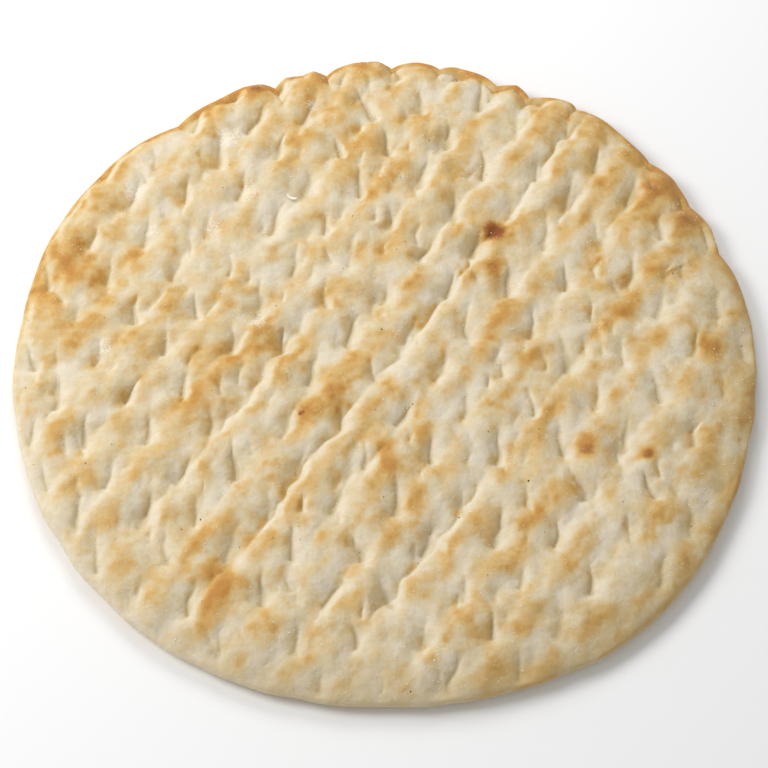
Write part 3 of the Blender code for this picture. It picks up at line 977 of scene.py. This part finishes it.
def grains_mesh(name, spots, draw):
    """One mesh of small rounded grains, one on each spot: (place, normal, size, flatness)."""
    mesh = bmesh.new()
    for place, normal, size, flatness in spots:
        lie = normal.to_track_quat("Z", "Y").to_matrix().to_4x4()
        spin = Matrix.Rotation(draw.uniform(0, 2 * math.pi), 4, "Z")
        length = size * draw.uniform(*GRAIN_LENGTH_RANGE)
        width = size * draw.uniform(*GRAIN_WIDTH_RANGE)
        stretch = Matrix.Diagonal((length, width, size * flatness, 1))
        proud = Matrix.Translation(place + normal * size * flatness * GRAIN_PROUD)
        matrix = proud @ lie @ spin @ stretch
        bmesh.ops.create_icosphere(mesh, subdivisions=1, radius=1, matrix=matrix)
    return finished(mesh, name)


def scattered_spots(surface, count, draw, keep):
    """Places spread evenly over the top, thinned by a rule on x and y."""
    spots = []
    middle = (NODE_LOW + NODE_HIGH) / 2
    while len(spots) < count:
        radius = SCATTER_REACH * CRUST_RADIUS * math.sqrt(draw.random())
        angle = draw.uniform(0, 2 * math.pi)
        x, y = middle.x + radius * math.cos(angle), middle.y + radius * math.sin(angle)
        landed = dropped(surface, x, y)
        if landed and draw.random() < keep(x, y):
            spots.append(landed)
    return spots


def scatter(name, count, size, look, keep, draw, material):
    """Drops grains of about one size on the crust, as one piece."""
    spread, largest, flatness = look
    spots = []
    for place, normal in scattered_spots(crust_surface(), count, draw, keep):
        spots.append((place, normal, size * min(draw.lognormvariate(0, spread), largest), flatness))
    add_piece(name, grains_mesh(name, spots, draw), material)


def colour_setting(name, description, colour):
    """A colour that the panel shows."""
    return FloatVectorProperty(
        name=name, description=description, subtype="COLOR", size=4, min=0, max=1, default=(*colour, 1)
    )


def angle_setting(name, description, degrees):
    """An angle that the panel shows."""
    return FloatProperty(
        name=name, description=description, subtype="ANGLE", default=math.radians(degrees)
    )


class CrustSettings(bpy.types.PropertyGroup):
    """The dough skin's fineness and colours."""

    top_rings: IntProperty(
        name="Rings on the top", description="Rings of triangles", default=115, min=20, max=178
    )
    first_splits: IntProperty(
        name="First splits", description="Bent triangles that are split", default=13000, min=0
    )
    second_splits: IntProperty(
        name="Second splits", description="Bent triangles split after that", default=8000, min=0
    )
    underside_rings: IntProperty(
        name="Rings underneath", description="Rings of triangles", default=56, min=12, max=90
    )
    pale_colour: colour_setting(
        "Pale dough", "Dough that the heat hardly reached", (0.755, 0.668, 0.51)
    )
    cream_colour: colour_setting("Cream dough", "Dough that is just baked", (0.70, 0.570, 0.350))
    golden_colour: colour_setting("Golden dough", "Lightly toasted dough", (0.67, 0.46, 0.19))
    toasted_colour: colour_setting("Toasted dough", "Well toasted dough", (0.61, 0.355, 0.094))
    brown_colour: colour_setting(
        "Brown dough", "Dough toasted to the edge of burning", (0.53, 0.247, 0.046)
    )
    scorched_colour: colour_setting("Scorched dough", "The darkest spots", (0.25, 0.068, 0.008))
    # Painted shade: the colour laid in the hollows and at the sunken front right
    painted_shade_colour: colour_setting("Hollows", "The floors of the pin marks", (0.50, 0.375, 0.175))
    flour_colour: colour_setting("Dusted dough", "Where flour clings to the dough", (0.80, 0.74, 0.58))
    drift_colour: colour_setting("Flour drifts", "Where flour lies thickest", (0.90, 0.84, 0.72))


class ScatterSettings(bpy.types.PropertyGroup):
    """What lies loose on the crust."""

    flour_grains: IntProperty(
        name="Flour grains", description="How many grains of flour show", default=3000, min=0, max=4000
    )
    flour_size: FloatProperty(
        name="Flour grain size", description="Half the width of a common grain",
        default=0.16 * MM, min=0.05 * MM, max=1 * MM, precision=5, unit="LENGTH",
    )
    specks: IntProperty(
        name="Dark specks", description="How many charred specks show", default=75, min=0, max=500
    )
    speck_size: FloatProperty(
        name="Speck size", description="Half the width of a common speck",
        default=0.24 * MM, min=0.05 * MM, max=1 * MM, precision=5, unit="LENGTH",
    )
    seed: IntProperty(name="Seed", description="Which way the grains fell", default=11, min=0)


class StageSettings(bpy.types.PropertyGroup):
    """The table, the light and the camera."""

    floor_colour: colour_setting("Table", "Colour of the table", (0.95, 0.95, 0.95))
    key_power: FloatProperty(
        name="Soft box", description="Power of the soft box in watts", default=7.7, min=0
    )
    key_azimuth: angle_setting("Soft box direction", "Where the soft box stands, round from +X", 172)
    key_height: angle_setting("Soft box height", "How high the soft box stands", 43)
    window_power: FloatProperty(
        name="Window", description="Power of the second soft box in watts", default=2.6, min=0
    )
    window_azimuth: angle_setting("Window direction", "Where the second one stands, round from +X", 100)
    window_height: angle_setting("Window height", "How high the second soft box stands", 45)
    fill: FloatProperty(
        name="Fill", description="How bright the room is", default=0.46, min=0
    )


class PIZZA_OT_skin(bpy.types.Operator):
    """Makes the crust's skin and its baked material, in place of the plain solid"""

    bl_idname = "pizza_crust.make_skin"
    bl_label = "Dough skin"

    def execute(self, context):
        settings = context.scene.pizza_crust
        splits = (settings.first_splits, settings.second_splits)
        data = skin_mesh(settings.top_rings, splits, settings.underside_rings)
        skin = add_piece("dough_skin", data, dough_material(settings))
        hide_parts("crust")
        return {"FINISHED"}


class PIZZA_OT_flour(bpy.types.Operator):
    """Dusts the crust with single grains of flour, in loose clouds"""

    bl_idname = "pizza_crust.dust_flour"
    bl_label = "Flour"

    def execute(self, context):
        settings = context.scene.pizza_scatter

        def keep(x, y):
            mean, swing, least = FLOUR_CLOUDS
            cloud = noise.noise(Vector((x / FLOUR_CLOUD_SIZE, y / FLOUR_CLOUD_SIZE, 3.3)))
            return max(least, mean + swing * cloud)

        dark, light = (0.86, 0.82, 0.70, 1), (0.97, 0.96, 0.92, 1)
        material = crumb_material("flour", dark, light, size=0.4 * MM, roughness=0.6)
        count, size, draw = settings.flour_grains, settings.flour_size, random.Random(settings.seed)
        scatter("flour_grains", count, size, FLOUR_GRAINS, keep, draw, material)
        return {"FINISHED"}


class PIZZA_OT_specks(bpy.types.Operator):
    """Scatters the small charred specks that the oven leaves"""

    bl_idname = "pizza_crust.scatter_specks"
    bl_label = "Charred specks"

    def execute(self, context):
        settings = context.scene.pizza_scatter
        dark, light = (0.02, 0.012, 0.006, 1), (0.13, 0.07, 0.03, 1)
        material = crumb_material("char", dark, light, size=0.3 * MM, roughness=0.8)
        count, size, draw = settings.specks, settings.speck_size, random.Random(settings.seed + 1)
        scatter("charred_specks", count, size, SPECK_GRAINS, lambda x, y: 1, draw, material)
        return {"FINISHED"}


class PIZZA_OT_flakes(bpy.types.Operator):
    """Lays the few pale curls of dried dough on the crust"""

    bl_idname = "pizza_crust.lay_flakes"
    bl_label = "Dough curls"

    def execute(self, context):
        surface = crust_surface()
        mesh = bmesh.new()
        middle = (NODE_LOW + NODE_HIGH) / 2
        for x, y, length, degrees in CURLS:
            place, _ = dropped(surface, x + middle.x, y + middle.y)
            made = bmesh.ops.create_uvsphere(mesh, u_segments=14, v_segments=10, radius=length / 2)
            slender = Matrix.Diagonal((1, CURL_WIDTH, CURL_THICKNESS, 1))
            bmesh.ops.transform(mesh, matrix=slender, verts=made["verts"])
            for vert in made["verts"]:
                share = 2 * vert.co.x / length
                vert.co.y += CURL_BEND * length * share * share
                vert.co.z += CURL_LIFT * length * share * share
            turn = Matrix.Rotation(math.radians(degrees), 4, "Z")
            up = Matrix.Translation(place + Vector((0, 0, CURL_CLEARANCE * length)))
            bmesh.ops.transform(mesh, matrix=up @ turn, verts=made["verts"])
        data = finished(mesh, "dough_curls")
        dark, light = (0.82, 0.76, 0.62, 1), (0.95, 0.93, 0.87, 1)
        material = crumb_material("dried_dough", dark, light, size=0.5 * MM, roughness=0.65)
        add_piece("dough_curls", data, material)
        return {"FINISHED"}


class PIZZA_OT_stage(bpy.types.Operator):
    """Makes the pale table, the soft light and the camera"""

    bl_idname = "pizza_crust.set_stage"
    bl_label = "Table, light and camera"

    def execute(self, context):
        settings = context.scene.pizza_stage
        scene = context.scene
        self.make_table(settings)
        self.make_light(scene, settings)
        self.make_camera(scene)
        scene.view_settings.view_transform = "Standard"
        return {"FINISHED"}

    def make_table(self, settings):
        mesh = bmesh.new()
        bmesh.ops.create_grid(mesh, x_segments=1, y_segments=1, size=TABLE_HALF_WIDTH)
        data = bpy.data.meshes.new("table")
        mesh.to_mesh(data)
        mesh.free()
        recipe = Recipe("matte_table")
        recipe.shader.inputs["Base Color"].default_value = settings.floor_colour
        recipe.shader.inputs["Roughness"].default_value = 0.9
        recipe.shader.inputs["Specular IOR Level"].default_value = 0.1
        data.materials.append(recipe.material)
        table = bpy.data.objects.new("table", data)
        bpy.context.scene.collection.objects.link(table)

    def make_light(self, scene, settings):
        direction = self.direction(settings.key_azimuth, settings.key_height)
        self.make_soft_box("soft_box", settings.key_power, direction, distance=1.2)
        direction = self.direction(settings.window_azimuth, settings.window_height)
        self.make_soft_box("window", settings.window_power, direction, distance=0.9)
        world = bpy.data.worlds.new("room")
        world.use_nodes = True
        world.node_tree.nodes["Background"].inputs["Color"].default_value = (1, 1, 1, 1)
        world.node_tree.nodes["Background"].inputs["Strength"].default_value = settings.fill
        scene.world = world

    def direction(self, azimuth, height):
        """The direction round from +X and up from the table, as a vector of length 1."""
        level = math.cos(height)
        return Vector((math.cos(azimuth) * level, math.sin(azimuth) * level, math.sin(height)))

    def make_soft_box(self, name, power, direction, distance):
        """A round soft box of this power, seen from the crust in this direction."""
        light = bpy.data.lights.new(name, "AREA")
        light.shape = "DISK"
        light.size = SOFT_BOX_WIDTH * distance
        light.energy = power
        box = bpy.data.objects.new(name, light)
        bpy.context.scene.collection.objects.link(box)
        box.location = distance * direction
        box.rotation_euler = direction.to_track_quat("Z", "Y").to_euler()

    def make_camera(self, scene):
        height = math.radians(CAMERA_ANGLE)
        camera = bpy.data.cameras.new("camera")
        camera.sensor_width = 36
        camera.lens = CAMERA_LENS
        camera.shift_x, camera.shift_y = CAMERA_SHIFT
        camera.clip_start = 0.05
        holder = bpy.data.objects.new("camera", camera)
        back = Vector((0, -math.cos(height), math.sin(height)))
        holder.location = Vector(CAMERA_AIM) + CAMERA_DISTANCE * back
        holder.rotation_euler = (math.pi / 2 - height, 0, 0)
        scene.collection.objects.link(holder)
        scene.camera = holder


class PIZZA_PT_panel(bpy.types.Panel):
    """Lists what makes the crust's looks"""

    bl_idname = "PIZZA_PT_panel"
    bl_label = "Pizza crust"
    bl_space_type = "VIEW_3D"
    bl_region_type = "UI"
    bl_category = "Pizza crust"

    def draw(self, context):
        scene = context.scene
        groups = (
            (scene.pizza_crust, (PIZZA_OT_skin,)),
            (scene.pizza_scatter, (PIZZA_OT_flour, PIZZA_OT_specks, PIZZA_OT_flakes)),
            (scene.pizza_stage, (PIZZA_OT_stage,)),
        )
        for settings, operators in groups:
            column = self.layout.column()
            for name in settings.__annotations__:
                column.prop(settings, name)
            for operator in operators:
                column.operator(operator.bl_idname)


SETTINGS = {
    "pizza_crust": CrustSettings,
    "pizza_scatter": ScatterSettings,
    "pizza_stage": StageSettings,
}
CLASSES = (
    CrustSettings,
    ScatterSettings,
    StageSettings,
    PIZZA_OT_skin,
    PIZZA_OT_flour,
    PIZZA_OT_specks,
    PIZZA_OT_flakes,
    PIZZA_OT_stage,
    PIZZA_PT_panel,
)


def register():
    for each in CLASSES:
        bpy.utils.register_class(each)
    for name, settings in SETTINGS.items():
        setattr(bpy.types.Scene, name, PointerProperty(type=settings))


def unregister():
    for name in SETTINGS:
        delattr(bpy.types.Scene, name)
    for each in reversed(CLASSES):
        bpy.utils.unregister_class(each)


def main():
    """Makes every piece and the stage."""
    register()
    bpy.ops.pizza_crust.make_skin()
    bpy.ops.pizza_crust.dust_flour()
    bpy.ops.pizza_crust.scatter_specks()
    bpy.ops.pizza_crust.lay_flakes()
    bpy.ops.pizza_crust.set_stage()


if __name__ == "__main__":
    main()
